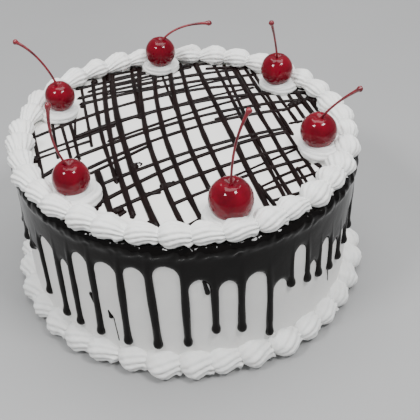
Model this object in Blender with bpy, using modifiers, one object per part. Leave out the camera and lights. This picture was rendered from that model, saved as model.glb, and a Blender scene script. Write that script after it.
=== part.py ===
"""A round frosted cake with a chocolate drip glaze, piped cream borders, a chocolate lattice and six cherries.

Lengths are in metres, +Z is up, and the origin is the middle of the cake's flat underside.
Angles run anticlockwise seen from above, from +X, and the side seen from the front faces -Y.
"""

import random
from math import atan2, cos, degrees, hypot, pi, radians, sin, sqrt

import bmesh
import bpy
from mathutils import Vector

# Driving dimensions
CAKE_RADIUS = 0.1076
CAKE_HEIGHT = 0.0980
EDGE_ROUNDING = 0.0050
WALL_SIDES = 60
GAP = 0.0003

GLAZE_THICKNESS = 0.0022
DRIP_WIDTH = 0.0050
ARCH_HEIGHT = 0.0200
LOWEST_ARCH_RISE = 0.0010
LOWEST_DRIP_TIP = 0.0190

TOP_SHELLS = 36
TOP_RING_RADIUS = 0.1030
TOP_SHELL_HALF_WIDTH = 0.0086
TOP_SHELL_HALF_HEIGHT = 0.0062
TOP_FOOT_RADIUS = 0.1056

BASE_SHELLS = 36
BASE_SHELL_REACH = 0.0098
BASE_SHELL_HEIGHT = 0.0180

ROSETTE_RADIUS = 0.0166
ROSETTE_HEIGHT = 0.0094
ROSETTE_STRANDS = 8
CHERRY_LIFT = 0.0147
PIT_DEPTH = 0.13
STEM_RADIUS = 0.0008
STEM_FOOT = 0.0015

RIBBON_HEIGHT = 0.0017
LATTICE_RADIUS = 0.0930

# One row for each drip that shows: its angle in degrees, its tip and the arch after it as shares of the wall's
# height, and how many degrees it leans on its way up.
FRONT_DRIPS = (
    (-163, 0.48, 0.66, 0.0),
    (-154, 0.54, 0.61, 0.0),
    (-145, 0.267, 0.79, -2.5),
    (-135.5, 0.20, 0.74, -1.5),
    (-129, 0.20, 0.86, -1.4),
    (-120.7, 0.20, 0.86, -1.0),
    (-110.8, 0.19, 0.88, -1.1),
    (-101, 0.20, 0.90, -1.6),
    (-91.3, 0.227, 0.80, -0.9),
    (-82.6, 0.327, 0.77, -0.4),
    (-74.1, 0.297, 0.78, -0.4),
    (-64.3, 0.16, 0.65, -0.8),
    (-56.8, 0.532, 0.86, -0.5),
    (-49.5, 0.487, 0.66, -0.8),
    (-43.9, 0.457, 0.76, -0.6),
    (-37, 0.417, 0.65, -0.6),
    (-30.4, 0.407, 0.66, -0.6),
    (-24, 0.447, 0.74, -0.5),
)
BACK_DRIP_SPACING = 8.4
DRIP_SEED = 5

# Cherries: name, angle in degrees, distance from the axis, diameter, and the two points that draw the stem from
# its foot: the one it bends towards and the one it ends at.
CHERRIES = (
    ("front", -74.6, 0.0889, 0.0246, (-0.001, 0.003, 0.026), (0.0093, 0.008, 0.0425)),
    ("left", -137.2, 0.0893, 0.0210, (-0.011, 0.0015, 0.014), (-0.007, 0.004, 0.0397)),
    ("back_left", 159.0, 0.0869, 0.0190, (-0.009, 0.001, 0.025), (-0.0245, 0.002, 0.0327)),
    ("back", 99.9, 0.0905, 0.0205, (0.012, 0.0, 0.015), (0.0372, 0.0, 0.0134)),
    ("back_right", 42.0, 0.0870, 0.0211, (-0.003, -0.007, 0.020), (-0.0074, -0.017, 0.0357)),
    ("right", -14.0, 0.0840, 0.0217, (0.007, -0.006, 0.016), (0.0203, -0.014, 0.0291)),
)

# The lattice's unit and the Y of its middle. A long stroke is its X there, its lean and its width. A cross
# stroke is its Y there, its climb, its bend and its width. Widths are in metres and the rest in units.
LATTICE_UNIT = 0.1082
LATTICE_MIDDLE_Y = -0.0071
LONG_STROKES = (
    (-0.752, 0.20, 0.0018),
    (-0.685, 0.25, 0.0018),
    (-0.637, 0.23, 0.0018),
    (-0.545, 0.17, 0.0016),
    (-0.469, 0.21, 0.0022),
    (-0.415, 0.17, 0.0024),
    (-0.345, 0.20, 0.0036),
    (-0.200, 0.175, 0.0030),
    (-0.090, 0.18, 0.0030),
    (0.030, 0.19, 0.0028),
    (0.135, 0.20, 0.0028),
    (0.285, 0.207, 0.0030),
    (0.413, 0.206, 0.0032),
    (0.533, 0.212, 0.0030),
    (0.619, 0.23, 0.0020),
    (0.725, 0.25, 0.0020),
    (0.778, 0.22, 0.0020),
)
CROSS_STROKES = (
    (0.858, 0.36, -0.13, 0.0020),
    (0.760, 0.27, -0.13, 0.0022),
    (0.680, 0.25, -0.20, 0.0022),
    (0.580, 0.27, -0.33, 0.0022),
    (0.432, 0.33, -0.27, 0.0026),
    (0.247, 0.43, -0.22, 0.0024),
    (0.138, 0.50, -0.30, 0.0022),
    (-0.108, 0.50, -0.19, 0.0022),
    (-0.187, 0.62, -0.30, 0.0024),
    (-0.357, 0.57, -0.20, 0.0022),
    (-0.530, 0.62, -0.20, 0.0020),
    (-0.698, 0.50, 0.00, 0.0018),
)


def clear_scene():
    for thing in list(bpy.data.objects):
        bpy.data.objects.remove(thing, do_unlink=True)


def new_collection(name):
    group = bpy.data.collections.new(name)
    bpy.context.scene.collection.children.link(group)
    return group


def material(name, colour, roughness):
    finish = bpy.data.materials.new(name)
    finish.use_nodes = True
    shader = finish.node_tree.nodes["Principled BSDF"]
    shader.inputs["Base Color"].default_value = (*colour, 1.0)
    shader.inputs["Roughness"].default_value = roughness
    shader.inputs["Metallic"].default_value = 0.0
    return finish


def object_from(name, mesh, group, finish=None):
    thing = bpy.data.objects.new(name, mesh)
    if finish is not None:
        mesh.materials.append(finish)
    mesh.shade_smooth()
    mesh.set_sharp_from_angle(angle=radians(50))
    group.objects.link(thing)
    return thing


def loft(name, sections, group, finish, closed_along):
    """A closed skin through sections of equal point counts. An open loft is capped at both ends."""
    skin = bmesh.new()
    rows = [[skin.verts.new(point) for point in section] for section in sections]
    around = len(rows[0])
    last = len(rows) if closed_along else len(rows) - 1
    for i in range(last):
        here, there = rows[i], rows[(i + 1) % len(rows)]
        for j in range(around):
            k = (j + 1) % around
            skin.faces.new((here[j], here[k], there[k], there[j]))
    if not closed_along:
        skin.faces.new(rows[0])
        skin.faces.new(rows[-1])
    bmesh.ops.recalc_face_normals(skin, faces=skin.faces)
    mesh = bpy.data.meshes.new(name)
    skin.to_mesh(mesh)
    skin.free()
    return object_from(name, mesh, group, finish)


def apply_modifiers(thing):
    """Replaces an object's mesh by its evaluated one, and drops its modifiers."""
    graph = bpy.context.evaluated_depsgraph_get()
    finished = bpy.data.meshes.new_from_object(thing.evaluated_get(graph))
    thing.modifiers.clear()
    thing.data = finished


def unite(thing, collection):
    """Fuses a collection's solids into an object, and removes them."""
    join = thing.modifiers.new("fuse", "BOOLEAN")
    join.operation = "UNION"
    join.operand_type = "COLLECTION"
    join.collection = collection
    join.solver = "EXACT"
    apply_modifiers(thing)
    for piece in list(collection.objects):
        bpy.data.objects.remove(piece, do_unlink=True)
    bpy.data.collections.remove(collection)


def cut(thing, cutter):
    groove = thing.modifiers.new("clear_" + cutter.name, "BOOLEAN")
    groove.operation = "DIFFERENCE"
    groove.object = cutter
    groove.solver = "EXACT"


# The cake, turned from its profile
def edge_profile(radius, height, rounding):
    """Points down a rounded top edge, from the flat top to the wall."""
    return [
        (radius - rounding * (1 - sin(a)), height - rounding * (1 - cos(a)))
        for a in (0, pi / 4, pi / 2)
    ]


def turned(name, profile, group, finish):
    """Turns a profile of (radius, height) points about +Z."""
    outline = bmesh.new()
    points = [outline.verts.new((r, 0, z)) for r, z in profile]
    for upper, lower in zip(points, points[1:]):
        outline.edges.new((upper, lower))
    mesh = bpy.data.meshes.new(name)
    outline.to_mesh(mesh)
    outline.free()
    thing = object_from(name, mesh, group, finish)
    screw = thing.modifiers.new("turn", "SCREW")
    screw.axis = "Z"
    screw.steps = WALL_SIDES
    screw.render_steps = WALL_SIDES
    screw.use_merge_vertices = True
    screw.merge_threshold = 0.00001
    return thing


def make_cake(group, finish):
    profile = (
        [(0, CAKE_HEIGHT)]
        + edge_profile(CAKE_RADIUS, CAKE_HEIGHT, EDGE_ROUNDING)
        + [(CAKE_RADIUS, 0), (0, 0)]
    )
    cake = turned("cake", profile, group, finish)
    apply_modifiers(cake)
    return cake


# The chocolate lattice on the top, as low ribbons fused to the cake
def spot(angle, out):
    return (out * cos(radians(angle)), out * sin(radians(angle)))


def on_open_top(x, y, half_width):
    """True where a ribbon's middle is clear of the top border and of every rosette."""
    room = half_width + 2 * GAP
    if hypot(x, y) > LATTICE_RADIUS - room:
        return False
    spots = [spot(angle, out) for _, angle, out, *_ in CHERRIES]
    return all(hypot(x - a, y - b) > ROSETTE_RADIUS + room for a, b in spots)


def open_runs(path, half_width, step=0.001):
    """Splits path(s), with s along the stroke, into the runs that lie on the open top."""
    runs, start = [], None
    count = int(2 * CAKE_RADIUS / step)
    for i in range(count + 1):
        s = -CAKE_RADIUS + i * step
        if on_open_top(*path(s), half_width):
            start = s if start is None else start
            end = s
        elif start is not None:
            runs.append((start, end))
            start = None
    return [(a, b) for a, b in runs if b - a > 0.006]


def ribbon(name, path, start, end, width, height, pieces, group):
    """A ribbon with sloping sides along path, sunk 1 mm into the cake."""
    sections = []
    for i in range(pieces + 1):
        s = start + (end - start) * i / pieces
        x, y = path(s)
        ahead_x, ahead_y = path(s + 0.0001)
        along = Vector((ahead_x - x, ahead_y - y, 0)).normalized()
        across = Vector((-along.y, along.x, 0))
        foot = Vector((x, y, CAKE_HEIGHT - 0.001))
        crest = Vector((x, y, CAKE_HEIGHT + height))
        sections.append(
            (
                foot + across * width * 0.5,
                crest + across * width * 0.3,
                crest - across * width * 0.3,
                foot - across * width * 0.5,
            )
        )
    return loft(name, sections, group, None, closed_along=False)


def long_path(at, lean):
    """A straight stroke from back to front that leans to the right."""
    return lambda y: (LATTICE_UNIT * at - lean * (y - LATTICE_MIDDLE_Y), y)


def cross_path(at, climb, bend):
    """A stroke that climbs to the right and flattens as it goes, from the arm's swing."""
    return lambda x: (
        x,
        LATTICE_MIDDLE_Y + LATTICE_UNIT * at + climb * x + bend * x * x / LATTICE_UNIT,
    )


def add_lattice(cake):
    ribbons = new_collection("ribbons")
    count = 0
    for strokes, shape, height, pieces in (
        (LONG_STROKES, long_path, RIBBON_HEIGHT, 1),
        (CROSS_STROKES, cross_path, RIBBON_HEIGHT * 0.8, 3),
    ):
        for *line, width in strokes:
            path = shape(*line)
            for start, end in open_runs(path, width / 2):
                parts = pieces if end - start > 0.05 else 1
                count += 1
                ribbon(
                    f"ribbon_{count}", path, start, end, width, height, parts, ribbons
                )
    unite(cake, ribbons)


# The glaze: a lip on the top's edge, a band down the wall, and drips with arches between them
def drip_rows():
    """Every drip as (angle, tip height, height of the arch after it, lean). The back follows a seeded rule."""
    chance = random.Random(DRIP_SEED)
    wall = CAKE_HEIGHT - EDGE_ROUNDING
    rows = [
        (angle, max(tip * wall, LOWEST_DRIP_TIP), arch * wall, lean)
        for angle, tip, arch, lean in FRONT_DRIPS
    ]
    first, last = FRONT_DRIPS[0][0] + 360, FRONT_DRIPS[-1][0]
    count = round((first - last) / BACK_DRIP_SPACING)
    pitch = (first - last) / count
    for i in range(1, count):
        angle = last + pitch * i + chance.uniform(-0.8, 0.8)
        tip = wall * chance.uniform(0.22, 0.52)
        arch = wall * chance.uniform(0.74, 0.90)
        rows.append((angle, tip, arch, 0.9 * sin(3.1 * i)))
    return rows


def glaze_edge():
    """The glaze's lower edge as (angle, height) points: round tips, straight sides, and arches."""
    rows = drip_rows()
    half = degrees(DRIP_WIDTH / 2 / CAKE_RADIUS)
    edge = []
    for i, (angle, tip, arch, lean) in enumerate(rows):
        for a in (-90, -45, 0, 45, 90):
            edge.append(
                (
                    angle + half * sin(radians(a)),
                    tip + DRIP_WIDTH / 2 * (1 - cos(radians(a))),
                )
            )
        next_angle, next_tip, _, next_lean = rows[(i + 1) % len(rows)]
        if next_angle < angle:
            next_angle += 360
        left, right = angle + lean + half, next_angle + next_lean - half
        room = arch - max(tip, next_tip) - DRIP_WIDTH
        rise = max(LOWEST_ARCH_RISE, min(ARCH_HEIGHT, room))
        for a in (0, 30, 60, 90, 120, 150, 180):
            across = (1 - cos(radians(a))) / 2
            edge.append(
                (left + (right - left) * across, arch - rise * (1 - sin(radians(a))))
            )
    return edge


def on_wall(angle, radius, height):
    """A point on a many-sided wall, so that a face within one side is flat."""
    side = 360 / WALL_SIDES
    within = (angle % side) - side / 2
    reach = radius * cos(radians(side / 2)) / cos(radians(within))
    return (reach * cos(radians(angle)), reach * sin(radians(angle)), height)


def height_at(edge, angle):
    """The lower edge's height at an angle, by straight lines between its points."""
    for (a, low), (b, high) in zip(edge, edge[1:]):
        if a <= angle <= b and b > a:
            return low + (high - low) * (angle - a) / (b - a)
    return edge[-1][1]


def make_glaze(group, finish):
    """An open skin a gap outside the cake, one flat face for each side of the wall, then thickened."""
    radius = CAKE_RADIUS + GAP
    top = CAKE_HEIGHT + GAP
    rim = edge_profile(radius, top, EDGE_ROUNDING + GAP)[1:]
    one_turn = glaze_edge()
    start = one_turn[0][0]
    edge = one_turn + [(a + 360, z) for a, z in one_turn]
    side = 360 / WALL_SIDES
    first = (start // side + 1) * side
    skin = bmesh.new()
    for i in range(WALL_SIDES):
        left, right = first + i * side, first + (i + 1) * side
        chain = [(left, height_at(edge, left))]
        chain += [(a, z) for a, z in edge if left + 0.01 < a < right - 0.01]
        chain.append((right, height_at(edge, right)))
        face = [on_wall(right, *rim[-1]), on_wall(left, *rim[-1])]
        face += [on_wall(a, radius, z) for a, z in chain]
        skin.faces.new([skin.verts.new(p) for p in face])
        corners = (
            on_wall(left, *rim[0]),
            on_wall(left, *rim[1]),
            on_wall(right, *rim[1]),
            on_wall(right, *rim[0]),
        )
        skin.faces.new([skin.verts.new(p) for p in corners])
    bmesh.ops.remove_doubles(skin, verts=skin.verts, dist=0.00001)
    bmesh.ops.recalc_face_normals(skin, faces=skin.faces)
    mesh = bpy.data.meshes.new("glaze")
    skin.to_mesh(mesh)
    skin.free()
    glaze = object_from("glaze", mesh, group, finish)
    wall = glaze.modifiers.new("thickness", "SOLIDIFY")
    wall.thickness = GLAZE_THICKNESS
    wall.offset = 1.0
    wall.use_even_offset = True
    return glaze


# The piped borders: one swelling, ridged ring each
SHELL_STOPS = (0.0, 0.14, 0.42, 0.76)


def shell_swell(t):
    """How full a shell is along its length: a quick round head, then a long taper to the tail."""
    head = 0.32
    if t < head:
        return sqrt(sin(pi / 2 * t / head))
    return cos(pi / 2 * (t - head) / (1 - head)) ** 0.8


def shell_columns(count):
    """(angle, place along the shell) for each section of a ring of shells."""
    return [(2 * pi * (k + t) / count, t) for k in range(count) for t in SHELL_STOPS]


def ridge(j, height):
    """Alternate points stand out and in, as a star nozzle leaves them."""
    return 1 + (height if j % 2 else -height)


def make_top_border(group, finish):
    sections = []
    points, spread = 8, radians(276)
    base = CAKE_HEIGHT + GAP
    for angle, t in shell_columns(TOP_SHELLS):
        swell = shell_swell(t)
        half_width = TOP_SHELL_HALF_WIDTH * (0.76 + 0.24 * swell)
        half_height = TOP_SHELL_HALF_HEIGHT * (0.68 + 0.32 * swell)
        middle = base + half_height * sin(radians(48))
        section = []
        for j in range(points):
            a = radians(-48) + spread * j / (points - 1)
            foot = j in (0, points - 1)
            bump = 1 if foot else ridge(j, 0.05)
            r = TOP_RING_RADIUS + half_width * bump * cos(a)
            r = min(r, TOP_FOOT_RADIUS) if foot else r
            z = base if foot else middle + half_height * bump * sin(a)
            section.append((r * cos(angle), r * sin(angle), z))
        sections.append(section)
    return loft("top_border", sections, group, finish, closed_along=True)


def make_base_border(group, finish):
    sections = []
    points = 7
    inside = CAKE_RADIUS + GAP
    for angle, t in shell_columns(BASE_SHELLS):
        swell = shell_swell(t)
        reach = BASE_SHELL_REACH * (0.70 + 0.30 * swell)
        height = BASE_SHELL_HEIGHT * (0.72 + 0.28 * swell)
        section = [(inside, 0.0)]
        for j in range(points):
            a = radians(100) - radians(112) * j / (points - 1)
            bump = 1 if j == 0 else ridge(j, 0.05)
            r = inside + max(0.0, reach * bump * cos(a))
            z = max(0.0, height * (0.12 + 0.88 * bump * sin(a)))
            section.append((r, z))
        section[1] = (inside, section[1][1])
        section[-1] = (inside + reach * 0.86, 0.0)
        sections.append([(r * cos(angle), r * sin(angle), z) for r, z in section])
    return loft("base_border", sections, group, finish, closed_along=True)


def rosette_cutter(name, place, group):
    """The cone of room that a rosette and its cherry take out of the top border."""
    low, high = CAKE_HEIGHT - 0.001, CAKE_HEIGHT + 0.024
    mesh = bpy.data.meshes.new(name)
    cone = bmesh.new()
    bmesh.ops.create_cone(
        cone,
        cap_ends=True,
        segments=16,
        radius1=(ROSETTE_RADIUS + 2 * GAP) / cos(pi / 16),
        radius2=ROSETTE_RADIUS * 0.94,
        depth=high - low,
    )
    cone.to_mesh(mesh)
    cone.free()
    cutter = object_from(name, mesh, group)
    cutter.location = (*place, (low + high) / 2)
    cutter.hide_render = True
    cutter.display_type = "WIRE"
    return cutter


# Rosettes, cherries and stems
def make_rosette(name, place, angle, diameter, group, finish):
    """A swirl of cream: a foot, a ridged flank whose ridges lean round, a crest and a seat for the cherry."""
    columns = ROSETTE_STRANDS * 2
    base = GAP
    seat = diameter / 2 + GAP
    lift = CHERRY_LIFT
    rim_radius = ROSETTE_RADIUS * 0.56
    flank = (
        (0.90, 0.0),
        (1.00, 0.24),
        (0.90, 0.66),
        (0.745, 1.0),
    )
    skin = bmesh.new()
    rows = []
    for row, (share, rise) in enumerate(flank):
        ring = []
        for i in range(columns):
            turn = 2 * pi * (i + 0.6 * row) / columns
            bump = 0.0 if row == 0 else 0.045 * (1 if i % 2 else -1)
            r = ROSETTE_RADIUS * min(share * (1 + bump), 1.0)
            z = base + ROSETTE_HEIGHT * rise
            ring.append(skin.verts.new((r * cos(turn), r * sin(turn), z)))
        rows.append(ring)
    for share, room in ((0.82, 0.0005), (0.35, 0.0)):
        r = rim_radius * share
        z = lift - sqrt((seat + room) ** 2 - r * r) if room else lift - seat
        ring = []
        for i in range(columns):
            turn = 2 * pi * (i + 0.6 * 3) / columns
            ring.append(skin.verts.new((r * cos(turn), r * sin(turn), z)))
        rows.append(ring)
    for here, there in zip(rows, rows[1:]):
        for j in range(columns):
            k = (j + 1) % columns
            skin.faces.new((here[j], here[k], there[k], there[j]))
    skin.faces.new(rows[0])
    skin.faces.new(rows[-1])
    bmesh.ops.recalc_face_normals(skin, faces=skin.faces)
    mesh = bpy.data.meshes.new(name)
    skin.to_mesh(mesh)
    skin.free()
    rosette = object_from(name, mesh, group, finish)
    rosette.location = (*place, CAKE_HEIGHT)
    rosette.rotation_euler.z = radians(angle)
    return rosette


def make_cherry(name, place, diameter, group, finish):
    """A round cherry, a little broad at the shoulder, with a pit in its top for the stem."""
    mesh = bpy.data.meshes.new(name)
    ball = bmesh.new()
    bmesh.ops.create_uvsphere(ball, u_segments=12, v_segments=8, radius=diameter / 2)
    for vert in ball.verts:
        up = vert.co.z / (diameter / 2)
        if up > 0:
            vert.co.z -= diameter * PIT_DEPTH * up**6
    ball.to_mesh(mesh)
    ball.free()
    cherry = object_from(name, mesh, group, finish)
    cherry.location = (*place, CAKE_HEIGHT + CHERRY_LIFT)
    return cherry


def make_stem(name, place, diameter, bow, tip, group, finish):
    """A thin stem that rises out of the cherry's pit and bows over to a knob at its tip."""
    curve = bpy.data.curves.new(name, "CURVE")
    curve.dimensions = "3D"
    curve.bevel_depth = STEM_RADIUS
    curve.bevel_resolution = 1
    curve.use_fill_caps = True
    pit = CAKE_HEIGHT + CHERRY_LIFT + diameter * (0.5 - PIT_DEPTH)
    root = Vector((*place, pit + GAP))
    rise = Vector((0, 0, STEM_FOOT))
    rows = ((0.0, 1.0), (0.2, 0.9), (0.42, 0.9), (0.66, 1.0), (0.86, 1.3), (0.94, 2.0), (1.0, 1.6))
    spline = curve.splines.new("POLY")
    spline.points.add(len(rows))
    spline.points[0].co = (*root, 1.0)
    spline.points[0].radius = 1.0
    for point, (t, girth) in zip(spline.points[1:], rows):
        bend = root + rise * (1 - t) + Vector(bow) * 2 * t * (1 - t) + Vector(tip) * t * t
        point.co = (*bend, 1.0)
        point.radius = girth
    stem = bpy.data.objects.new(name, curve)
    curve.materials.append(finish)
    group.objects.link(stem)
    return stem


def main():
    clear_scene()
    cake_parts = new_collection("cherry_cake")
    cutters = new_collection("cutters")
    frosting = material("white_frosting", (0.80, 0.79, 0.78), 0.55)
    cream = material("piped_cream", (0.86, 0.86, 0.85), 0.50)
    chocolate = material("chocolate_glaze", (0.022, 0.014, 0.012), 0.18)
    cherry_red = material("cherry_red", (0.42, 0.008, 0.020), 0.15)
    stem_red = material("stem_red", (0.22, 0.012, 0.020), 0.45)

    cake = make_cake(cake_parts, frosting)
    add_lattice(cake)
    make_glaze(cake_parts, chocolate)
    border = make_top_border(cake_parts, cream)
    make_base_border(cake_parts, cream)
    for name, angle, out, diameter, bow, tip in CHERRIES:
        place = spot(angle, out)
        cut(border, rosette_cutter("room_" + name, place, cutters))
        make_rosette("rosette_" + name, place, angle, diameter, cake_parts, cream)
        make_cherry("cherry_" + name, place, diameter, cake_parts, cherry_red)
        make_stem("stem_" + name, place, diameter, bow, tip, cake_parts, stem_red)


main()
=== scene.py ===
import random
from math import cos, pi, radians, sin

import bpy
import numpy as np
from mathutils import Matrix


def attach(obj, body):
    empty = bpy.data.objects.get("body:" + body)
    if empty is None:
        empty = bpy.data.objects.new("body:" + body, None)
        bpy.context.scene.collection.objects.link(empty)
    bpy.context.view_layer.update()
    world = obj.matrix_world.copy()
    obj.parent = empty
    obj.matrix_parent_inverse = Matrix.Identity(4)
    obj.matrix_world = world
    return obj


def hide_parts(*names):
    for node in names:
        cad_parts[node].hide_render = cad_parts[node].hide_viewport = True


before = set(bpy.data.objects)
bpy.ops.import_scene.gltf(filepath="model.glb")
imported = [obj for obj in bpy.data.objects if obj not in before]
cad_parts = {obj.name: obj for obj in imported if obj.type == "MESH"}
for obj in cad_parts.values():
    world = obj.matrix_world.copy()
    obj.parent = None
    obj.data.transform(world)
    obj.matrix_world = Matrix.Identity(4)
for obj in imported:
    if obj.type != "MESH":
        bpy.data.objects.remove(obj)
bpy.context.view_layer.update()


# Frosted cake
# The real one is a tall round layer cake, coated all over with white frosting that was smoothed with a
# spatula, so its wall and top are nearly flat and keep only faint waves.
cake_radius = 0.1076
cake_height = 0.0980
edge_rounding = 0.0050
wall_height = cake_height - edge_rounding
wall_wave = 0.00044
top_wave = 0.00030
pole_radius = 0.0015
cake_columns = 420


def soft_noise(points, size, seed):
    """A smooth random field: fourteen sine waves in seeded directions, each about size long, added up."""
    chance = np.random.default_rng(seed)
    ways = chance.normal(size=(14, 3))
    ways /= np.linalg.norm(ways, axis=1, keepdims=True)
    ways *= 2 * np.pi / (size * chance.uniform(0.7, 1.6, size=(14, 1)))
    return np.sin(points @ ways.T + chance.uniform(0, 2 * np.pi, 14)).sum(axis=-1) / 14


def mesh_piece(name, verts, quads, fans):
    """A smooth mesh of quads and triangles with its faces turned outwards, judged by its signed volume."""
    tris = np.concatenate([quads[:, (0, 1, 2)], quads[:, (0, 2, 3)], fans])
    a, b, c = verts[tris[:, 0]], verts[tris[:, 1]], verts[tris[:, 2]]
    if (a * np.cross(b, c)).sum() < 0:
        quads, fans = quads[:, ::-1], fans[:, ::-1]
    mesh = bpy.data.meshes.new(name)
    mesh.vertices.add(len(verts))
    mesh.vertices.foreach_set("co", verts.astype(np.float32).ravel())
    mesh.loops.add(4 * len(quads) + 3 * len(fans))
    mesh.loops.foreach_set("vertex_index", np.concatenate([quads.ravel(), fans.ravel()]).astype(np.int32))
    starts = np.concatenate([4 * np.arange(len(quads)), 4 * len(quads) + 3 * np.arange(len(fans))])
    mesh.polygons.add(len(starts))
    mesh.polygons.foreach_set("loop_start", starts.astype(np.int32))
    mesh.update(calc_edges=True)
    mesh.validate()
    mesh.shade_smooth()
    piece = bpy.data.objects.new(name, mesh)
    bpy.context.scene.collection.objects.link(piece)
    return piece


def tubes(name, points):
    """Skins from stacks of rings: points[k, i, j] is point j of ring i of tube k. Fans close both ends."""
    count, rings, around = points.shape[:3]
    middles = points[:, (0, -1)].mean(axis=2).reshape(-1, 3)
    tube, ring, j = np.meshgrid(np.arange(count), np.arange(rings - 1), np.arange(around), indexing="ij")
    here = (tube * rings + ring) * around
    a, b = here + j, here + (j + 1) % around
    quads = np.stack([a, b, b + around, a + around], axis=-1).reshape(-1, 4)
    tube, j = np.meshgrid(np.arange(count), np.arange(around), indexing="ij")
    here = tube * rings * around
    a, b = here + j, here + (j + 1) % around
    far = (rings - 1) * around
    hub = count * rings * around + 2 * tube
    fans = np.concatenate([
        np.stack([hub, b, a], axis=-1).reshape(-1, 3),
        np.stack([hub + 1, a + far, b + far], axis=-1).reshape(-1, 3),
    ])
    return mesh_piece(name, np.concatenate([points.reshape(-1, 3), middles]), quads, fans)


def finish(name, dark, light, patch, rough, grain, relief, **sockets):
    """A Principled finish: a broad noise blends two colours and two roughnesses, a fine one gives relief."""
    look = bpy.data.materials.new(name)
    look.use_nodes = True
    nodes, links = look.node_tree.nodes, look.node_tree.links
    shader = nodes["Principled BSDF"]
    place = nodes.new("ShaderNodeTexCoord")
    broad = nodes.new("ShaderNodeTexNoise")
    broad.inputs["Scale"].default_value = 1 / patch
    broad.inputs["Detail"].default_value = 4
    tint = nodes.new("ShaderNodeValToRGB")
    tint.color_ramp.elements[0].position = 0.35
    tint.color_ramp.elements[1].position = 0.65
    tint.color_ramp.elements[0].color = (*dark, 1)
    tint.color_ramp.elements[1].color = (*light, 1)
    gloss = nodes.new("ShaderNodeMapRange")
    gloss.inputs["From Min"].default_value = 0.35
    gloss.inputs["From Max"].default_value = 0.65
    gloss.inputs["To Min"].default_value = rough[0]
    gloss.inputs["To Max"].default_value = rough[1]
    fine = nodes.new("ShaderNodeTexNoise")
    fine.inputs["Scale"].default_value = 1 / grain
    fine.inputs["Detail"].default_value = 3
    lift = nodes.new("ShaderNodeBump")
    lift.inputs["Distance"].default_value = relief
    links.new(place.outputs["Object"], broad.inputs["Vector"])
    links.new(place.outputs["Object"], fine.inputs["Vector"])
    links.new(broad.outputs["Fac"], tint.inputs["Fac"])
    links.new(tint.outputs["Color"], shader.inputs["Base Color"])
    links.new(broad.outputs["Fac"], gloss.inputs["Value"])
    links.new(gloss.outputs["Result"], shader.inputs["Roughness"])
    links.new(fine.outputs["Fac"], lift.inputs["Height"])
    links.new(lift.outputs["Normal"], shader.inputs["Normal"])
    for socket, value in sockets.items():
        shader.inputs[socket.replace("_", " ")].default_value = value
    return look


def cake_profile():
    """(radius, height) down the middle of the top, over the rounded edge, down the wall and in below."""
    turn = np.linspace(0, np.pi / 2, 9)
    flat = cake_radius - edge_rounding
    top = np.stack([np.linspace(pole_radius, flat, 56), np.full(56, cake_height)], axis=1)
    edge = np.stack([
        flat + edge_rounding * np.sin(turn),
        cake_height - edge_rounding * (1 - np.cos(turn)),
    ], axis=1)
    wall = np.stack([np.full(48, cake_radius), np.linspace(wall_height, 0, 48)], axis=1)
    under = np.stack([np.linspace(cake_radius, pole_radius, 8), np.zeros(8)], axis=1)
    return np.concatenate([top, edge[1:], wall[1:], under[1:]])


profile = cake_profile()
turn = np.linspace(0, 2 * np.pi, cake_columns, endpoint=False)
ring_r, ring_z = profile[:, :1], profile[:, 1:] + 0 * turn
body = np.stack([ring_r * np.cos(turn), ring_r * np.sin(turn), ring_z], axis=-1)
flat_wave = soft_noise(body * (1, 1, 0), 0.045, 11) + 0.5 * soft_noise(body * (1, 1, 0), 0.014, 12)
side_wave = soft_noise(body * (1, 1, 2.2), 0.050, 13) + 0.4 * soft_noise(body * (1, 1, 3), 0.016, 14)
on_top = np.clip((ring_z - cake_height + 0.001) / 0.001, 0, 1)
on_side = np.clip((ring_z - 0.004) / 0.004, 0, 1) * (1 - on_top) * (ring_r > cake_radius - edge_rounding)
body[..., 2] += top_wave * flat_wave * on_top
body[..., :2] *= (1 + wall_wave / cake_radius * side_wave * on_side)[..., None]
frosting = finish(
    "white_frosting", (0.83, 0.82, 0.795), (0.88, 0.87, 0.845), 0.030, (0.42, 0.55), 0.0016, 0.00012,
    Subsurface_Weight=0.12, Subsurface_Radius=(1.0, 0.85, 0.75), Subsurface_Scale=0.0015,
)
cake = tubes("frosted_cake", body[None])
cake.data.materials.append(frosting)
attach(cake, "root")
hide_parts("cake")


# Chocolate glaze
# Warm dark chocolate poured over the frosted edge. It sets as a glossy coat about two millimetres thick
# that ends in rounded arches, with long drips between them that swell into a bead at the tip.
glaze_row_step = 0.00100
glaze_lowest_row = 0.0160
glaze_run_on_top = 0.0010
glaze_gap = 0.0001
glaze_back = -0.0006
glaze_band_depth = 0.0013
glaze_drip_depth = 0.0019
glaze_unevenness = 0.12
arch_fillet = 0.0095
tip_bulge = 0.0012
rim_height = 0.0011
rim_spread = 0.0033
rim_lumpiness = 2.2
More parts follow.
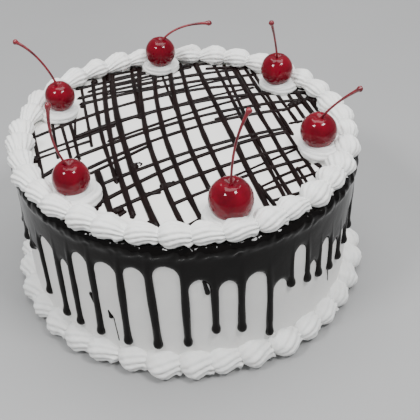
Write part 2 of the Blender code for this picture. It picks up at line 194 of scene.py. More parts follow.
# The drips that the front shows: each one's angle, the heights of its tip and of the arch after it as shares
# of the wall, its lean in degrees, and the half widths of its run and of its bead in millimetres.
front_drips = (
    (-163, 0.48, 0.66, 0.0, 2.3, 2.6), (-154, 0.54, 0.61, 0.0, 2.3, 2.5),
    (-145, 0.267, 0.79, -2.5, 2.2, 2.5), (-135.5, 0.198, 0.74, -1.5, 2.4, 2.7),
    (-129, 0.198, 0.86, -1.4, 2.2, 2.6), (-120.7, 0.198, 0.86, -1.0, 2.3, 2.6),
    (-110.8, 0.188, 0.88, -1.1, 2.4, 2.6), (-101, 0.197, 0.905, -1.6, 2.6, 2.7),
    (-91.3, 0.227, 0.797, -0.9, 2.4, 2.6), (-82.6, 0.327, 0.77, -0.4, 2.3, 2.6),
    (-74.1, 0.297, 0.78, -0.4, 2.4, 2.7), (-64.3, 0.16, 0.65, -0.8, 2.2, 2.5),
    (-56.8, 0.532, 0.86, -0.5, 1.9, 2.9), (-49.5, 0.487, 0.66, -0.8, 1.9, 2.9),
    (-43.9, 0.457, 0.76, -0.6, 1.9, 2.9), (-37, 0.417, 0.65, -0.6, 2.0, 2.9),
    (-30.4, 0.407, 0.66, -0.6, 2.0, 2.8), (-24, 0.447, 0.74, -0.5, 2.0, 2.8),
)
lowest_tip = 0.0165
back_drip_spacing = 8.4


def drip_rows():
    """All drips as rows of angle, tip, arch, lean, half width and bead. A seeded rule makes the back's."""
    chance = random.Random(5)
    rows = [
        (angle, max(tip * wall_height, lowest_tip), arch * wall_height, lean, half / 1000, bead / 1000)
        for angle, tip, arch, lean, half, bead in front_drips
    ]
    first, last = front_drips[0][0] + 360, front_drips[-1][0]
    count = round((first - last) / back_drip_spacing)
    pitch = (first - last) / count
    for i in range(1, count):
        angle = last + pitch * i + chance.uniform(-0.8, 0.8)
        tip = wall_height * chance.uniform(0.22, 0.52)
        arch = wall_height * chance.uniform(0.74, 0.90)
        rows.append((angle, tip, arch, 0.9 * sin(3.1 * i), 0.0021 + 0.0002 * sin(2.3 * i), 0.0027))
    return np.array(rows)


def smooth_max(a, b, blend):
    """The larger of two fields, with the crease between them rounded over a width of blend."""
    overlap = np.clip(blend - np.abs(a - b), 0, None) / blend
    return np.maximum(a, b) + overlap**2 * blend / 4


def glaze_path(v):
    """Radius, height and outward normal at length v up the wall, over the rounded edge and in on the top."""
    bend = np.clip((v - wall_height) / edge_rounding, 0, np.pi / 2)
    inward = np.clip(v - wall_height - edge_rounding * np.pi / 2, 0, None)
    radius = cake_radius - edge_rounding * (1 - np.cos(bend)) - inward
    height = np.minimum(v, wall_height) + edge_rounding * np.sin(bend)
    return radius, height, np.cos(bend), np.sin(bend)


def drip_middle(up, row):
    """The angle of a drip's middle line: it leans on its way up and wavers a little."""
    angle, tip, _, lean = row[:4]
    climb = np.clip((up - tip) / (0.85 * wall_height - tip), 0, 1)
    return radians(angle) + radians(lean) * climb + 0.0016 * np.sin(up * 70 + angle)


def drip_field(around, up, row):
    """How far a point lies inside a drip, and the reach there: a leaning run that ends in a round bead."""
    angle, tip, _, _, half, bead = row
    across = (np.mod(around - drip_middle(up, row) + pi, 2 * pi) - pi) * cake_radius
    width = half * (1 + 0.07 * np.sin(up * 160 + 2 * angle))
    run = width - np.hypot(across, np.clip(tip + bead - up, 0, None))
    ball = bead - np.hypot(across, (up - tip - bead * 1.25) / 1.25)
    reach = half + (bead - half) * np.exp(-(((up - tip - bead) / bead) ** 2))
    return reach, smooth_max(run, ball, 0.0016)


def glaze_fields(around, up):
    """The distance inside the glaze's outline, its depth there, and the swell of its rim."""
    rows = drip_rows()
    angles = np.radians(rows[:, 0] + rows[:, 3])
    after = np.roll(angles, -1)
    after[-1] += 2 * pi
    inset = 0.0020 / cake_radius
    knots = np.stack([angles + inset, after - inset], axis=1).ravel()
    heights = np.repeat(rows[:, 2], 2)
    start = angles[0]
    arch = np.interp(np.mod(around - start, 2 * pi) + start, knots, heights, period=2 * pi)
    band = up - arch + 0.0010 * soft_noise(np.stack([around * 9, 0 * around, 0 * around], axis=-1), 1.0, 21)
    drips = np.full(np.broadcast(around, up).shape, -1.0)
    depth = np.zeros(drips.shape)
    for row in rows:
        reach, inside = drip_field(around, up, row)
        fade = 1 - 0.75 * np.clip((up - arch + 0.004) / 0.022, 0, 1)
        bulge = tip_bulge * np.exp(-(((up - row[1] - 0.003) / 0.0035) ** 2))
        swell = (glaze_drip_depth + bulge) * np.sqrt(1 - (1 - np.clip(inside / reach, 0, 1)) ** 2)
        drips = np.maximum(drips, inside)
        depth = np.maximum(depth, swell * fade)
    inside = smooth_max(drips, band, arch_fillet)
    coat = glaze_band_depth * np.sqrt(1 - (1 - np.clip(inside / 0.0030, 0, 1)) ** 2)
    coat *= np.clip((up - arch + 0.022) / 0.018, 0.0, 1)
    rim = rim_height * np.exp(-(((up - wall_height - 0.001) / rim_spread) ** 2))
    return inside, smooth_max(depth, coat, 0.0007) - 0.0001, rim


def glaze_columns(up):
    """The angles of the grid's columns at each height. They follow the drips, and crowd together on them."""
    middles = np.stack([drip_middle(up[:, 0], row) for row in drip_rows()], axis=1)
    gaps = np.mod(np.roll(middles, -1, axis=1) - middles, 2 * pi)
    across = np.concatenate([
        np.linspace(0, 0.22, 8)[:-1], np.linspace(0.22, 0.78, 7), np.linspace(0.78, 1, 8)[1:-1],
    ])
    return (middles[:, :, None] + gaps[:, :, None] * across).reshape(len(up), -1)


def glaze_mesh(name):
    """The grid cells that reach inside the outline, trimmed to it, with a back and sides that close them."""
    path_end = wall_height + edge_rounding * pi / 2 + glaze_run_on_top
    up = np.arange(glaze_lowest_row, path_end, glaze_row_step)[:, None]
    around = glaze_columns(up)
    columns = around.shape[1]
    inside, depth, rim = glaze_fields(around, up)
    step_round = np.mod(np.roll(around, -1, axis=1) - np.roll(around, 1, axis=1), 2 * pi) * cake_radius
    slope_round = (np.roll(inside, -1, axis=1) - np.roll(inside, 1, axis=1)) / step_round
    slant = np.gradient(around, glaze_row_step, axis=0) * cake_radius
    slope_up = np.gradient(inside, glaze_row_step, axis=0) - slope_round * slant
    steep = np.clip(np.hypot(slope_up, slope_round), 0.5, None)
    pull = np.clip(-inside, 0, 0.0016) / steep**2
    moved_up = up + pull * slope_up
    moved_round = around + pull * slope_round / cake_radius
    depth = np.where(inside > 0, depth, 0)
    radius, height, out, upward = glaze_path(moved_up)
    swell = np.stack([moved_round * 12, moved_up * 90, 0 * moved_up], axis=-1)
    wound = np.stack([np.cos(moved_round), np.sin(moved_round), moved_up * 11], axis=-1)
    lumps = soft_noise(wound, 0.050, 32)
    depth = depth * (1 + glaze_unevenness * soft_noise(swell, 1.1, 31))
    depth = depth + np.where(inside > 0.002, rim * (1 + rim_lumpiness * lumps), 0)
    sheets = []
    for lift in (depth + glaze_gap, np.full(depth.shape, glaze_back)):
        r, z = radius + out * lift, height + upward * lift
        sheets.append(np.stack([r * np.cos(moved_round), r * np.sin(moved_round), z], axis=-1))
    rows = len(up)
    i, j = np.meshgrid(np.arange(rows - 1), np.arange(columns), indexing="ij")
    k = (j + 1) % columns
    keep = (inside[i, j] > 0) | (inside[i, k] > 0) | (inside[i + 1, j] > 0) | (inside[i + 1, k] > 0)
    low, high = i * columns, (i + 1) * columns
    quads = np.stack([low + j, low + k, high + k, high + j], axis=-1)[keep]
    used, quads = np.unique(quads, return_inverse=True)
    quads = quads.reshape(-1, 4)
    total = len(used)
    verts = np.concatenate([sheet.reshape(-1, 3)[used] for sheet in sheets])
    a = quads.ravel()
    b = np.roll(quads, -1, axis=1).ravel()
    open_edge = ~np.isin(a * total + b, b * total + a)
    a, b = a[open_edge], b[open_edge]
    sides = np.stack([b, a, a + total, b + total], axis=-1)
    faces = np.concatenate([quads, quads[:, ::-1] + total, sides])
    return mesh_piece(name, verts, faces, np.zeros((0, 3), dtype=int))


# Splashes and hairline runs beside the drips: each from one angle and share of the height to another, with
# its half width in millimetres at both ends.
splashes = (
    (-123.2, 0.555, -121.2, 0.455, 1.3, 1.5),
    (-117.1, 0.450, -116.3, 0.405, 0.4, 1.3),
    (-116.5, 0.425, -116.0, 0.385, 1.0, 2.0),
    (-115.3, 0.395, -114.3, 0.190, 0.4, 0.4),
    (-86.2, 0.790, -84.9, 0.670, 1.0, 1.6),
    (-37.3, 0.440, -36.3, 0.300, 0.5, 0.35),
)


def splash_rings():
    """A low half-round bead on the wall for each splash, with its two ends rounded."""
    rows = np.array(splashes)[:, :, None, None]
    u = (0.5 - 0.5 * np.cos(np.linspace(0.04, np.pi - 0.04, 40)))[None, :, None]
    around = np.radians(rows[:, 0] + (rows[:, 2] - rows[:, 0]) * u)
    up = wall_height * (rows[:, 1] + (rows[:, 3] - rows[:, 1]) * u)
    sideways = np.radians(rows[:, 2] - rows[:, 0]) * cake_radius
    climb = wall_height * (rows[:, 3] - rows[:, 1])
    length = np.hypot(sideways, climb)
    slope, side = climb / length, sideways / length
    half = (rows[:, 4] + (rows[:, 5] - rows[:, 4]) * u) / 1000
    edge = np.minimum(u, 1 - u) * length
    half = half * np.sqrt(1 - (1 - np.clip(edge / half, 0, 1)) ** 2)
    turn = np.linspace(0, 2 * np.pi, 14, endpoint=False)
    spread = half * np.cos(turn)
    around = around - slope * spread / cake_radius
    up = up + side * spread
    radius = cake_radius + half * 0.9 * np.clip(np.sin(turn), -0.3, 1)
    return np.stack([radius * np.cos(around), radius * np.sin(around), up], axis=-1)


chocolate = finish(
    "dark_chocolate_glaze", (0.0022, 0.0016, 0.0014), (0.0042, 0.0031, 0.0027), 0.020, (0.04, 0.09),
    0.0030, 0.00008, Specular_IOR_Level=0.19,
)
for piece in (glaze_mesh("glaze_drips"), tubes("glaze_splashes", splash_rings())):
    piece.data.materials.append(chocolate)
    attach(piece, "root")
    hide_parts("glaze")


# Chocolate lattice
# Melted dark chocolate swung back and forth over the top from a piping bag: thick steep strokes first, then
# thinner ones across them. Each is a low rounded strand, and the arm's swing bows the cross strokes.
lattice_unit = 0.1082
lattice_middle = (0.0, -0.0071)
lattice_reach = 0.1000
strand_rings = 72
strand_sides = 12
strand_wander = 0.0006
strand_unevenness = 0.35
strand_height_share = 0.85
widths_per_metre = 1580
# Rows of place, lean, bend, half width, start and end. The half widths count in 1/1580 m and all else in
# lattice units from the lattice's middle.
long_strokes = (
    (-0.868, 0.235, 0.00, 2.0, 0.27, -0.39), (-0.752, 0.20, 0.00, 1.7, 0.30, -0.12),
    (-0.685, 0.25, 0.00, 1.7, 0.31, -0.13), (-0.637, 0.23, 0.00, 1.9, 0.34, -0.14),
    (-0.640, 0.10, 0.00, 1.5, 0.34, 0.12), (-0.545, 0.17, 0.00, 1.7, 0.70, -0.01),
    (-0.469, 0.21, 0.06, 2.3, 0.83, -0.38), (-0.428, 0.168, 0.068, 2.9, 0.88, -0.68),
    (-0.355, 0.20, 0.068, 3.5, 0.92, -0.78), (-0.240, 0.115, 0.00, 2.4, 0.96, 0.28),
    (-0.210, 0.171, 0.09, 2.9, 0.94, -0.77), (-0.105, 0.178, 0.088, 2.9, 0.97, -0.75),
    (0.016, 0.19, 0.00, 1.5, 0.84, 0.36), (0.0155, 0.185, 0.08, 2.9, 0.98, -0.47),
    (0.127, 0.20, 0.05, 2.9, 0.98, -0.40), (0.285, 0.207, 0.00, 3.1, 0.98, -0.72),
    (0.222, 0.38, 0.00, 2.2, -0.42, -0.64), (0.403, 0.206, 0.00, 2.1, 0.96, -0.63),
    (0.425, 0.205, 0.05, 2.1, 0.96, -0.57), (0.525, 0.212, 0.00, 2.7, 0.95, -0.52),
    (0.545, 0.212, 0.00, 2.1, 0.93, 0.36), (0.550, 0.24, 0.00, 1.7, -0.28, -0.50),
    (0.619, 0.23, 0.00, 2.1, 0.88, -0.40), (0.645, 0.22, 0.00, 2.1, 0.86, 0.04),
    (0.725, 0.25, 0.00, 2.1, 0.585, 0.17), (0.778, 0.22, 0.00, 2.1, 0.59, 0.22),
    (0.854, 0.25, 0.00, 3.1, 0.600, 0.24), (0.955, 0.30, 0.00, 3.3, 0.58, 0.33),
    (-0.564, 0.257, 0.00, 3.5, -0.25, -0.66), (0.904, 0.25, 0.00, 2.6, 0.42, 0.25),
)
cross_strokes = (
    (1.000, 0.34, 0.00, 2.0, -0.60, -0.33), (0.965, 0.375, 0.00, 1.5, -0.45, -0.22),
    (0.945, 0.36, -0.06, 2.3, -0.70, -0.10), (0.895, 0.36, -0.13, 2.1, -0.62, 0.06),
    (0.930, 0.15, 0.00, 2.2, -0.02, 0.32), (0.850, 0.35, 0.00, 1.5, -0.46, -0.10),
    (0.875, 0.10, -0.20, 2.6, 0.15, 0.47), (0.785, 0.27, -0.13, 2.3, -0.68, 0.46),
    (0.722, 0.27, 0.00, 1.5, -0.50, -0.15), (0.700, 0.25, -0.15, 2.3, -0.66, 0.47),
    (0.630, 0.42, -0.15, 1.8, -0.20, 0.44), (0.592, 0.27, -0.30, 2.2, -0.90, 0.48),
    (0.447, 0.46, -0.20, 1.8, -0.30, 0.46), (0.432, 0.33, -0.27, 2.6, -0.66, 0.80),
    (0.312, 0.52, -0.15, 1.8, -0.46, 0.46), (0.247, 0.43, -0.22, 2.2, -0.64, 0.80),
    (0.168, 0.45, -0.10, 1.6, 0.18, 0.35), (0.153, 0.80, 0.00, 2.0, -0.54, -0.20),
    (0.138, 0.50, -0.30, 2.2, -0.56, 0.66), (-0.108, 0.50, -0.19, 2.2, -0.50, 0.62),
    (-0.187, 0.62, -0.30, 2.4, -0.50, 0.62), (-0.357, 0.57, -0.20, 2.2, -0.41, 0.65),
    (-0.530, 0.62, -0.20, 2.0, -0.08, 0.72), (-0.5165, 0.65, 0.00, 1.6, 0.26, 0.65),
    (-0.672, 0.60, 0.00, 1.8, 0.47, 0.70), (-0.698, 0.50, 0.00, 1.8, 0.40, 0.77),
    (-0.730, 0.69, 0.00, 1.6, 0.39, 0.50), (-0.760, 0.40, 0.00, 1.8, 0.43, 0.65),
    (-0.762, 0.80, 0.00, 2.3, -0.015, 0.07), (0.485, 0.64, 0.00, 1.8, -0.86, -0.42),
    (0.380, 0.58, 0.00, 1.8, -0.85, -0.56), (0.588, 1.10, 0.00, 2.6, -0.81, -0.72),
    (-0.104, 0.70, 0.00, 2.0, 0.60, 0.76), (0.360, 0.12, 0.00, 1.8, 0.55, 0.79),
    (0.500, 0.13, 0.00, 2.0, 0.50, 0.76),
)
# Short strokes and blobs where the bag turned or dripped, as rows of two ends and a half width.
turn_blobs = (
    (-0.870, -0.095, -0.840, -0.150, 4.2), (-0.302, -0.200, -0.288, -0.260, 4.6),
    (-0.292, -0.196, -0.272, -0.184, 1.2), (-0.272, -0.184, -0.255, -0.188, 1.2),
    (-0.255, -0.188, -0.250, -0.200, 1.1), (-0.250, -0.200, -0.260, -0.214, 1.0),
    (-0.520, -0.585, -0.455, -0.545, 4.2), (-0.492, -0.612, -0.470, -0.585, 2.0),
    (-0.405, -0.638, -0.335, -0.598, 4.0), (-0.368, -0.668, -0.322, -0.618, 2.0),
    (-0.302, -0.676, -0.276, -0.668, 2.8), (-0.214, -0.718, -0.180, -0.742, 3.0),
    (-0.186, -0.700, -0.176, -0.790, 3.0), (-0.150, -0.420, -0.058, -0.388, 3.2),
    (-0.235, -0.485, -0.140, -0.468, 2.4), (0.722, -0.240, 0.752, -0.290, 2.4),
    (0.752, -0.290, 0.744, -0.340, 2.0), (0.700, 0.560, 0.735, 0.602, 3.0),
    (0.735, 0.602, 0.785, 0.560, 2.8), (0.770, 0.470, 0.855, 0.385, 4.2),
    (-0.588, 0.810, -0.578, 0.730, 3.8), (-0.495, 0.850, -0.478, 0.740, 3.6),
    (-0.340, 0.950, -0.322, 0.880, 4.4), (-0.650, 0.440, -0.615, 0.460, 2.8),
    (0.610, -0.530, 0.645, -0.490, 3.0), (0.330, 0.915, 0.450, 0.880, 4.0),
    (0.625, 0.170, 0.715, 0.195, 1.8), (0.645, 0.375, 0.745, 0.430, 3.4),
    (0.785, 0.530, 0.850, 0.350, 3.2),
)


def strand(path, start, end, width, seed):
    """Rings of a strand along path(t) from start to end, inside the lattice's reach. Its section is a low
    half round whose width wanders, and its ends are round."""
    t = np.linspace(start, end, 500)
    line = path(t) * lattice_unit + lattice_middle
    t = t[np.hypot(line[:, 0], line[:, 1]) < lattice_reach]
    t = np.linspace(t[0], t[-1], strand_rings)
    line = path(t) * lattice_unit + lattice_middle
    along = np.gradient(line, axis=0)
    along /= np.linalg.norm(along, axis=1, keepdims=True)
    across = np.stack([-along[:, 1], along[:, 0]], axis=1)
    length = np.hypot(*(line[-1] - line[0]))
    run = np.stack([t * lattice_unit, 0 * t + seed, 0 * t], axis=-1)
    wander = np.clip(length / 0.08, 0, 1)
    line = line + across * (strand_wander * wander * soft_noise(run, 0.045, seed))[:, None]
    half = width / widths_per_metre * (1 + strand_unevenness * soft_noise(run, 0.016, seed + 50))
    step = np.arange(strand_rings)
    edge = np.minimum(step, step[::-1]) / (strand_rings - 1) * length
    half = half * np.sqrt(1 - (1 - np.clip(edge / half, 0.02, 1)) ** 2)
    turn = np.linspace(0, 2 * np.pi, strand_sides, endpoint=False)
    side = half[:, None] * np.cos(turn)
    lift = half[:, None] * strand_height_share * np.clip(np.sin(turn), -0.35, 1)
    return np.concatenate([
        line[:, None, :] + across[:, None, :] * side[..., None],
        (cake_height + glaze_gap + lift)[..., None],
    ], axis=-1)


def long_path(at, lean, bend):
    """x = at - lean y + bend y squared, run from the back to the front."""
    return lambda y: np.stack([at - lean * y + bend * y * y, y], axis=1)


def cross_path(at, climb, bend):
    """y = at + climb x + bend x squared, run from left to right."""
    return lambda x: np.stack([x, at + climb * x + bend * x * x], axis=1)


def straight_path(x1, y1, x2, y2):
    """The straight line from one point to another."""
    return lambda t: np.stack([x1 + (x2 - x1) * t, y1 + (y2 - y1) * t], axis=1)


strands = []
for i, (at, lean, bend, width, start, end) in enumerate(long_strokes):
    strands.append(strand(long_path(at, lean, bend), start, end, width, 100 + i))
for i, (at, climb, bend, width, start, end) in enumerate(cross_strokes):
    strands.append(strand(cross_path(at, climb, bend), start, end, width, 200 + i))
for i, (x1, y1, x2, y2, width) in enumerate(turn_blobs):
    strands.append(strand(straight_path(x1, y1, x2, y2), 0, 1, width, 300 + i))
lattice = tubes("chocolate_lattice", np.stack(strands))
lattice.data.materials.append(finish(
    "piped_chocolate", (0.0044, 0.0016, 0.0015), (0.0084, 0.0032, 0.0029), 0.012, (0.28, 0.42),
    0.0015, 0.00008, Specular_IOR_Level=0.12,
))
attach(lattice, "root")
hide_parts("cake")


# Top border
# Whipped cream piped through a star nozzle: a ring of shells round the top's edge. Each starts in a fat head,
# arches up and over with its ridges running lengthwise, and tapers into a tail that the next head covers.
top_shell_count = 36
top_ring_radius = 0.1030
top_ring_shift = (-0.0016, 0.0004)
shell_rings_along = 36
shell_points_around = 64
shell_length_in_pitches = 1.20
shell_head_share = 0.36
shell_tip_share = 0.12
shell_start_in_pitches = -0.54
ridge_turns = 6.5
cream_lumps = 0.0011


def shell_rings(count, ring, offset, reach, tall, foot, rise, lean, swing, thin, groove, ragged, seed):
    """Rings of points for a circle of shells, turned by offset of a shell. The spine is an arch along the
    circle, and the section is a star whose ridges run along it. Its size rises as a quarter circle to the
    head, tapers off and ends ragged."""
    chance = np.random.default_rng(seed)
    angle = 2 * np.pi * (np.arange(count) + offset) / count
    angle = (angle + chance.uniform(-0.012, 0.012, count))[:, None, None]
    pitch = ring * 2 * np.pi / count
    size = chance.uniform(0.92, 1.08, count)[:, None, None]
    yaw = swing + chance.uniform(-0.14, 0.14, count)[:, None, None]
    drift = chance.uniform(-0.0008, 0.0008, count)[:, None, None]
    phase = chance.uniform(0, 2 * np.pi, count)[:, None, None]
    twist = chance.uniform(0.3, 0.9, count)[:, None, None]
    u = np.linspace(0, 1, shell_rings_along)[None, :, None]
    phi = np.linspace(0, 2 * np.pi, shell_points_around, endpoint=False)[None, None, :]
    head = np.sqrt(1 - (1 - np.clip(u / shell_head_share, 0.01, 1)) ** 2)
    taper = 1 - thin * np.clip((u - shell_head_share) / (1 - shell_head_share), 0, 1) ** 1.2
    tip = np.sqrt(1 - np.clip((u - 1 + shell_tip_share) / shell_tip_share, 0, 0.99) ** 2)
    rho = reach * size * head * taper * tip
    course = np.pi * (0.05 + 0.90 * u)
    arch = np.sin(course)
    bend = np.arctan2(rise * 0.9 * np.pi * np.cos(course), pitch * shell_length_in_pitches)
    crest = np.abs(np.cos(ridge_turns * (phi - twist * u) + phase))
    cut = groove * (1 + 0.8 * np.clip((u - 0.5) / 0.5, 0, 1)) * (1 - crest) ** 1.4
    outer = np.exp(-(((np.mod(phi + pi, 2 * pi) - pi + 0.25) / 0.75) ** 2))
    teeth = ragged * np.exp(-(((u - 0.80) / 0.09) ** 2)) * outer * (crest**4 - 0.25)
    teeth = teeth * (0.6 + 0.8 * np.sin(9 * phi + 5 * phase) ** 2)
    star = rho * (1 - cut + teeth)
    up = star * tall * np.sin(phi)
    x = pitch * (shell_start_in_pitches + shell_length_in_pitches * u) - np.sin(bend) * up
    y = drift - lean * arch + star * np.cos(phi)
    z = foot + rise * arch * (1 - 0.25 * u) + np.cos(bend) * up
    x, y = x - yaw * y, y + yaw * x
    theta = angle + x / ring
    r = ring + y
    cream = np.stack([r * np.cos(theta), r * np.sin(theta), z + 0 * r], axis=-1)
    wave = soft_noise(cream, 0.012, seed + 1) + 0.6 * soft_noise(cream, 0.0045, seed + 2)
    out = np.stack([
        np.cos(phi) * np.cos(angle), np.cos(phi) * np.sin(angle), np.sin(phi) + 0 * angle,
    ], axis=-1)
    return cream + out * (cream_lumps * wave * head * tip)[..., None]


top_shells = shell_rings(
    top_shell_count, top_ring_radius, offset=-0.35,
    reach=0.0088, tall=0.74, foot=0.0024, rise=0.0036, lean=0.0004, swing=-0.04, thin=0.64, groove=0.17,
    ragged=0.55, seed=41,
)
top_shells[..., 2] = np.maximum(top_shells[..., 2], -0.0010) + cake_height
top_shells[..., :2] += top_ring_shift
cream = finish(
    "whipped_cream", (0.83, 0.83, 0.81), (0.88, 0.88, 0.86), 0.012, (0.45, 0.60), 0.0010, 0.00010,
    Subsurface_Weight=0.25, Subsurface_Radius=(1.0, 0.9, 0.85), Subsurface_Scale=0.0020,
)
top_border = tubes("top_border_shells", top_shells)
top_border.data.materials.append(cream)
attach(top_border, "root")
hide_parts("top_border")


# Base border
# Larger shells of the same whipped cream, piped round the foot of the wall through the same nozzle. They rest
# on the ground, lean on the wall and hide its lower edge.
base_shell_count = 36
base_ring_radius = 0.1075
base_ring_shift = (0.0012, 0.0)
base_shells = shell_rings(
    base_shell_count, base_ring_radius, offset=0.0,
    reach=0.0112, tall=0.80, foot=0.0046, rise=0.0034, lean=0.0, swing=-0.24, thin=0.46, groove=0.13,
    ragged=0.45, seed=61,
)
base_shells[..., :2] += base_ring_shift
base_shells[..., 2] = np.maximum(base_shells[..., 2], 0.0)
base_border = tubes("base_border_shells", base_shells)
base_border.data.materials.append(cream)
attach(base_border, "root")
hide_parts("base_border")


# Rosettes
# Six swirls of the same cream on the inner side of the top border, each wound inwards from a small tail.
# The ridges follow the winding, and the middle is a soft seat that hugs the cherry's underside.
cherry_lift = 0.0147
# Each cherry's angle, distance from the cake's axis and diameter, then the point that bows its stem and the
# stem's tip, both measured from the pit.
cherries = {
    "front": (-74.6, 0.0889, 0.0246, (0.000, 0.003, 0.028), (0.0105, 0.008, 0.0435)),
    "left": (-137.2, 0.0893, 0.0210, (-0.011, 0.0015, 0.014), (-0.007, 0.004, 0.0397)),
    "back_left": (159.0, 0.0869, 0.0190, (-0.009, 0.001, 0.025), (-0.0245, 0.002, 0.0327)),
    "back": (99.9, 0.0905, 0.0205, (0.012, 0.0, 0.015), (0.0372, 0.0, 0.0134)),
    "back_right": (42.0, 0.0870, 0.0211, (-0.003, -0.007, 0.020), (-0.0074, -0.017, 0.0357)),
    "right": (-14.0, 0.0840, 0.0217, (0.007, -0.006, 0.016), (0.0203, -0.014, 0.0291)),
}
# The size of each rosette, and how much further out than its cherry it sits.
rosette_fits = {
    "front": (1.07, 0.0), "left": (1.07, 0.0), "back_left": (0.88, 0.0022), "back": (0.88, 0.0022),
    "back_right": (0.88, 0.0022), "right": (0.99, 0.0022),
}
rosette_turns = 2.15
rosette_path = 0.0104
rosette_step_in = 0.0027
rosette_step_up = 0.0026
rosette_tail = 0.0016
rosette_foot = 0.0028
rope_half_width = 0.0050
rope_groove = 0.18


def rosette_rings(start, seed):
    """A star-sectioned rope of cream wound about the Z axis. It climbs from a wide outer turn to a narrower
    one that hugs the cherry, and it thins towards its end."""
    u = np.linspace(0, 1, 150)[:, None]
    phi = np.linspace(0, 2 * np.pi, 44, endpoint=False)[None, :]
    wind = start + u * 2 * np.pi * rosette_turns
    climb = np.clip((u - 0.36) / 0.30, 0, 1)
    climb = climb * climb * (3 - 2 * climb)
    path = rosette_path - rosette_step_in * climb + rosette_tail * np.clip(1 - u / 0.10, 0, 1)
    thick = rope_half_width * np.sqrt(1 - (1 - np.clip(u / 0.10, 0.01, 1)) ** 2)
    thick = thick * (1 - 0.24 * climb) * np.sqrt(1 - np.clip((u - 0.93) / 0.07, 0, 0.99) ** 2)
    crest = np.abs(np.cos(4 * (phi + 0.30 * wind)))
    star = thick * (1 - rope_groove * (1 - crest) ** 1.3)
    r = path + star * np.cos(phi)
    z = rosette_foot + rosette_step_up * climb + 0.95 * star * np.sin(phi)
    swirl = np.stack([r * np.cos(wind), r * np.sin(wind), np.maximum(z, -0.0005)], axis=-1)
    uneven = 0.07 * soft_noise(swirl, 0.012, seed) + 0.03 * soft_noise(swirl, 0.004, seed + 1)
    return swirl * (1 + uneven)[..., None]


for name, (angle, out, diameter, bow, tip) in cherries.items():
    spread, outward = rosette_fits[name]
    reach = out + outward
    centre = np.array((reach * cos(radians(angle)), reach * sin(radians(angle)), cake_height))
    swirl = rosette_rings(radians(angle + 200), 300 + round(angle)) * spread
    rosette = tubes("rosette_swirl_" + name, (swirl + centre)[None])
    rosette.data.materials.append(cream)
    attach(rosette, "root")
    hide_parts("rosette_" + name)


# Cherries
# Maraschino cherries: pitted, candied and dyed a deep clear red, and wet with syrup. Each is round and a
# little broad at the shoulder, with a pit on top for its stem and a few soft dents.
cherry_red = finish(
    "candied_cherry", (0.105, 0.0005, 0.0063), (0.185, 0.0009, 0.0107), 0.010, (0.06, 0.13), 0.0025, 0.00010,
    Subsurface_Weight=0.10, Subsurface_Radius=(1.0, 0.10, 0.10), Subsurface_Scale=0.0020,
    Specular_IOR_Level=0.26, Coat_Weight=0.08, Coat_Roughness=0.05,
)
cherry_swelling = 1.04
cherry_height_share = 1.03
pit_depth = 0.23
pit_width = 0.30
pit_folds = 0.010
cherry_dents = 0.035


def cherry_rings(diameter, seed):
    """A ball with its height eased, a bell-shaped pit in its top, and soft dents from a smooth noise."""
    fall = np.linspace(0.03, np.pi - 0.03, 52)[:, None]
    turn = np.linspace(0, 2 * np.pi, 64, endpoint=False)[None, :]
    half = cherry_swelling * diameter / 2
    r = half * np.sin(fall) * (1 + 0.03 * np.cos(fall))
    z = half * np.cos(fall) * cherry_height_share
    pit = np.exp(-((r / (pit_width * half)) ** 2)) * (fall < np.pi / 2)
    z = z - pit_depth * half * pit
    ball = np.stack([r * np.cos(turn), r * np.sin(turn), z + 0 * turn], axis=-1)
    collar = np.exp(-(((r / half - 0.35) / 0.22) ** 2)) * (fall < np.pi / 2)
    folds = pit_folds * np.sin(7 * turn + seed) * collar
    return ball * (1 + cherry_dents * soft_noise(ball, 0.016, seed) + folds)[..., None]


for name, (angle, out, diameter, bow, tip) in cherries.items():
    centre = np.array((out * cos(radians(angle)), out * sin(radians(angle)), cake_height + cherry_lift))
    cherry = tubes("cherry_fruit_" + name, (cherry_rings(diameter, 400 + round(angle)) + centre)[None])
    cherry.data.materials.append(cherry_red)
    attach(cherry, "root")
    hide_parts("cherry_" + name)


# Cherry stems
# The cherries' own stalks, dyed dark red by the syrup. Each rises out of the pit, bows over, and ends in the
# small woody knob where it was picked.
stem_red = finish(
    "dyed_stem", (0.10, 0.004, 0.010), (0.24, 0.012, 0.022), 0.006, (0.30, 0.45), 0.0008, 0.00015,
    Coat_Weight=0.4, Coat_Roughness=0.2,
)
stem_half_width = 0.00072
stem_flare = 0.0004
stem_knob = 0.0007
stem_root_share = 0.37
stem_root_sunk = 0.0012


def stem_rings(bow, tip, seed):
    """A thin tube on a path bowed by a control point, with a foot and a knob that swell at its ends."""
    t = np.linspace(0, 1, 60)[:, None]
    path = 2 * t * (1 - t) * np.array(bow) + t * t * np.array(tip)
    path[:, 2] -= stem_root_sunk * (1 - t[:, 0]) ** 8
    along = np.gradient(path, axis=0)
    along /= np.linalg.norm(along, axis=1, keepdims=True)
    side = np.cross(along, (0.0, 1.0, 0.0))
    side /= np.linalg.norm(side, axis=1, keepdims=True)
    other = np.cross(along, side)
    swell = np.clip((t - 0.45) / 0.50, 0, 1) ** 2
    thick = stem_half_width + stem_flare * np.exp(-((t / 0.05) ** 2)) + stem_flare * swell
    thick = thick + stem_knob * np.exp(-(((t - 0.955) / 0.035) ** 2))
    thick = thick * np.sqrt(1 - np.clip((t - 0.975) / 0.025, 0, 0.99) ** 2)
    turn = np.linspace(0, 2 * np.pi, 16, endpoint=False)[None, :]
    thick = thick * (1 + 0.06 * np.sin(5 * turn + seed))
    return path[:, None, :] + thick[..., None] * (
        np.cos(turn)[..., None] * side[:, None, :] + np.sin(turn)[..., None] * other[:, None, :]
    )


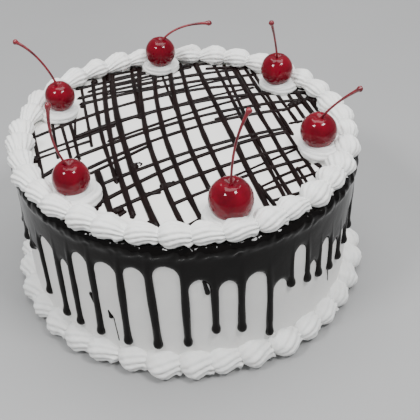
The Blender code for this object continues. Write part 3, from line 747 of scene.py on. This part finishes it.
for name, (angle, out, diameter, bow, tip) in cherries.items():
    level = cake_height + cherry_lift + stem_root_share * diameter
    root = np.array((out * cos(radians(angle)), out * sin(radians(angle)), level))
    stem = tubes("stem_stalk_" + name, (stem_rings(bow, tip, 500 + round(angle)) + root)[None])
    stem.data.materials.append(stem_red)
    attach(stem, "root")
    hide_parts("stem_" + name)


# Floor
# A plain pale ground, large enough to fill the photograph's view. It lies level with the cake's underside,
# and a faint unevenness of colour keeps it from looking like paper.
def ground(name, half):
    """A level square, half being half its side, at the height on which the piece stands."""
    mesh = bpy.data.meshes.new(name)
    corners = [(-half, -half, 0), (half, -half, 0), (half, half, 0), (-half, half, 0)]
    mesh.from_pydata(corners, [], [(0, 1, 2, 3)])
    floor = bpy.data.objects.new(name, mesh)
    bpy.context.scene.collection.objects.link(floor)
    return floor


floor = ground("floor", 6.0)
floor.data.materials.append(finish(
    "pale_ground", (0.33, 0.33, 0.33), (0.355, 0.355, 0.355), 0.40, (0.55, 0.65), 0.002, 0.00002,
))


# Lights
# Soft studio light: a broad panel overhead and behind, a smaller one at each front corner, and a pale sky.
# The two small panels draw the glints on the glaze and the cherries.
def panel(name, place, target, size, power):
    """A rectangular lamp at place that faces target, with its long side level."""
    light = bpy.data.lights.new(name, "AREA")
    light.shape = "RECTANGLE"
    light.size, light.size_y = size
    light.energy = power
    lamp = bpy.data.objects.new(name, light)
    lamp.location = place
    away = np.array(place) - np.array(target)
    back = away / np.linalg.norm(away)
    right = np.cross((0, 0, 1), back)
    right = right / np.linalg.norm(right)
    over = np.cross(back, right)
    lamp.rotation_euler = Matrix(np.stack([right, over, back], axis=1).tolist()).to_euler()
    bpy.context.scene.collection.objects.link(lamp)


panel("overhead", (0.05, 0.30, 1.50), (0, 0, 0.05), (1.4, 1.0), 22)
panel("left_front", (-0.75, -0.55, 1.15), (0, 0, 0.08), (0.30, 0.22), 11)
panel("right_front", (0.55, -0.45, 1.25), (0, 0, 0.08), (0.35, 0.22), 12)
world = bpy.data.worlds.new("soft_sky")
world.use_nodes = True
world.node_tree.nodes["Background"].inputs["Color"].default_value = (0.93, 0.96, 1.0, 1)
world.node_tree.nodes["Background"].inputs["Strength"].default_value = 0.41
bpy.context.scene.world = world


# Camera
# The photograph's view: from the front and above, tilted a little, about as near as an arm's length. It looks
# down by 37.5 degrees, and three small turns centre the cake in the frame.
focal_share_of_width = 798.5 / 420
sight = bpy.data.cameras.new("camera")
sight.sensor_width = 36
sight.lens = sight.sensor_width * focal_share_of_width
camera = bpy.data.objects.new("camera", sight)
turned = (
    Matrix.Rotation(radians(90 - 37.499), 3, "X")
    @ Matrix.Rotation(-0.02756, 3, "Y")
    @ Matrix.Rotation(-0.01704, 3, "X")
    @ Matrix.Rotation(-0.03634, 3, "Z")
)
camera.matrix_world = Matrix.Translation((0.0, -0.42923, 0.37885)) @ turned.to_4x4()
bpy.context.scene.collection.objects.link(camera)
bpy.context.scene.camera = camera
